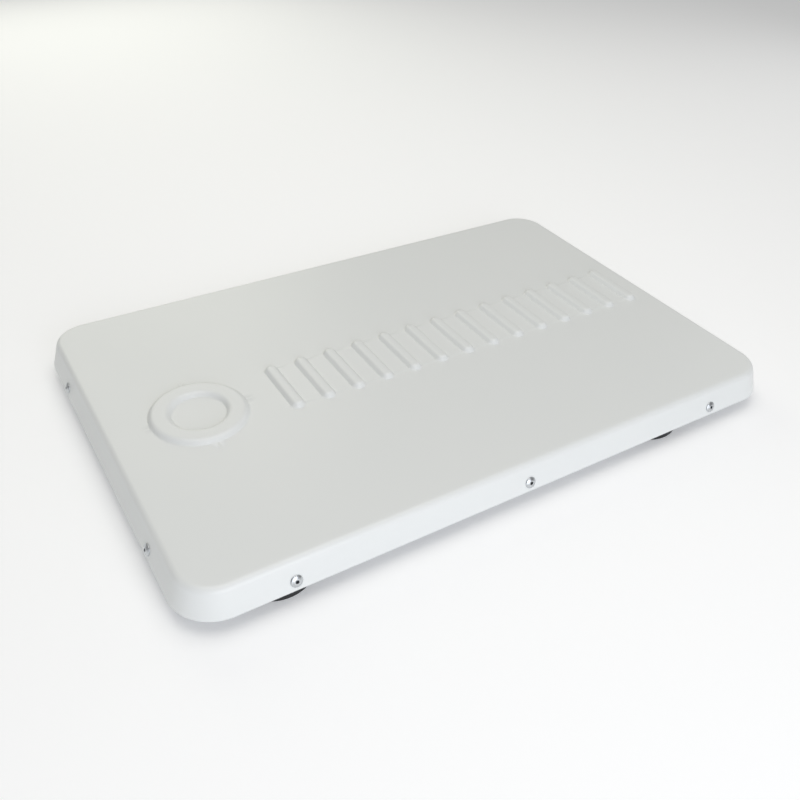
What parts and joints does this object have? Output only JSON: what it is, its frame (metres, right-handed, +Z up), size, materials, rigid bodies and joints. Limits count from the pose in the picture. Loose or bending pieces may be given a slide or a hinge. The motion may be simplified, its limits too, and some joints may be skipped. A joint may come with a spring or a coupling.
{
  "type": "flat panel antenna",
  "caption": "Low rectangular radome housing for a flat panel antenna, with raised stiffening beads, on height-adjustable rubber-coated magnetic feet.",
  "frame": {"origin": "under the middle of the housing, on the surface that the four feet stand on, with the feet screwed fully in", "axes": "+Z up; X along the long side, with the ring bead towards -X; -Y is the front long side"},
  "size_m": [0.6112, 0.4032, 0.0432],
  "materials": {
    "formed_abs": "white vacuum-formed ABS, semi-gloss with a faint ripple",
    "foam_seal": "closed-cell foam rubber strip",
    "sheet_aluminium": "mill-finish sheet aluminium with faint rolling lines",
    "rivet_aluminium": "polished blind rivets",
    "coat_rubber": "matt moulded black rubber",
    "zinc_steel": "bright zinc-plated steel",
    "magnet_ceramic": "dark grey sintered ferrite",
    "circuit_board": "green solder mask over glass-epoxy laminate",
    "spacer_foam": "white rigid low-loss foam",
    "patch_film": "amber polyimide film with etched copper patches",
    "thermal_pad": "soft grey-blue silicone pad",
    "tinned_shield": "tinned steel shield can",
    "patch_ceramic": "fired tan ceramic with a silver patch",
    "black_plastic": "moulded black nylon"
  },
  "bodies": {
    "housing": {"radome_cover": "formed_abs", "rim_seal": "foam_seal", "base_tray": "sheet_aluminium", "side_rivet_01": "rivet_aluminium", "side_rivet_02": "rivet_aluminium", "side_rivet_03": "rivet_aluminium", "side_rivet_04": "rivet_aluminium", "side_rivet_05": "rivet_aluminium", "side_rivet_06": "rivet_aluminium", "side_rivet_07": "rivet_aluminium", "side_rivet_08": "rivet_aluminium", "side_rivet_09": "rivet_aluminium", "side_rivet_10": "rivet_aluminium", "foot_1_jam_nut": "zinc_steel", "foot_1_rivet_nut": "zinc_steel", "foot_2_jam_nut": "zinc_steel", "foot_2_rivet_nut": "zinc_steel", "foot_3_jam_nut": "zinc_steel", "foot_3_rivet_nut": "zinc_steel", "foot_4_jam_nut": "zinc_steel", "foot_4_rivet_nut": "zinc_steel", "vent_plug": "black_plastic", "inlet_grommet": "coat_rubber", "heat_spreader": "sheet_aluminium", "standoff_1": "zinc_steel", "standoff_screw_1": "zinc_steel", "standoff_2": "zinc_steel", "standoff_screw_2": "zinc_steel", "standoff_3": "zinc_steel", "standoff_screw_3": "zinc_steel", "standoff_4": "zinc_steel", "standoff_screw_4": "zinc_steel", "processor_shield": "tinned_shield", "converter_shield": "tinned_shield", "array_board": "circuit_board", "foam_spacer": "spacer_foam", "patch_film": "patch_film", "supply_pad": "thermal_pad", "supply_board": "circuit_board", "supply_inductor": "black_plastic", "supply_connector": "black_plastic", "positioning_patch": "patch_ceramic", "board_socket": "black_plastic", "supply_lead": "black_plastic"},
    "foot_1": {"foot_1_rubber_coat": "coat_rubber", "foot_1_steel_cup": "zinc_steel", "foot_1_magnet": "magnet_ceramic", "foot_1_stud": "zinc_steel"},
    "foot_2": {"foot_2_rubber_coat": "coat_rubber", "foot_2_steel_cup": "zinc_steel", "foot_2_magnet": "magnet_ceramic", "foot_2_stud": "zinc_steel"},
    "foot_3": {"foot_3_rubber_coat": "coat_rubber", "foot_3_steel_cup": "zinc_steel", "foot_3_magnet": "magnet_ceramic", "foot_3_stud": "zinc_steel"},
    "foot_4": {"foot_4_rubber_coat": "coat_rubber", "foot_4_steel_cup": "zinc_steel", "foot_4_magnet": "magnet_ceramic", "foot_4_stud": "zinc_steel"}
  },
  "joints": [
    {"name": "foot_1_height", "type": "slide", "parent": "housing", "child": "foot_1", "axis": [0, 0, -1], "range_m": [0, 0.004]},
    {"name": "foot_2_height", "type": "slide", "parent": "housing", "child": "foot_2", "axis": [0, 0, -1], "range_m": [0, 0.004]},
    {"name": "foot_3_height", "type": "slide", "parent": "housing", "child": "foot_3", "axis": [0, 0, -1], "range_m": [0, 0.004]},
    {"name": "foot_4_height", "type": "slide", "parent": "housing", "child": "foot_4", "axis": [0, 0, -1], "range_m": [0, 0.004]}
  ]
}
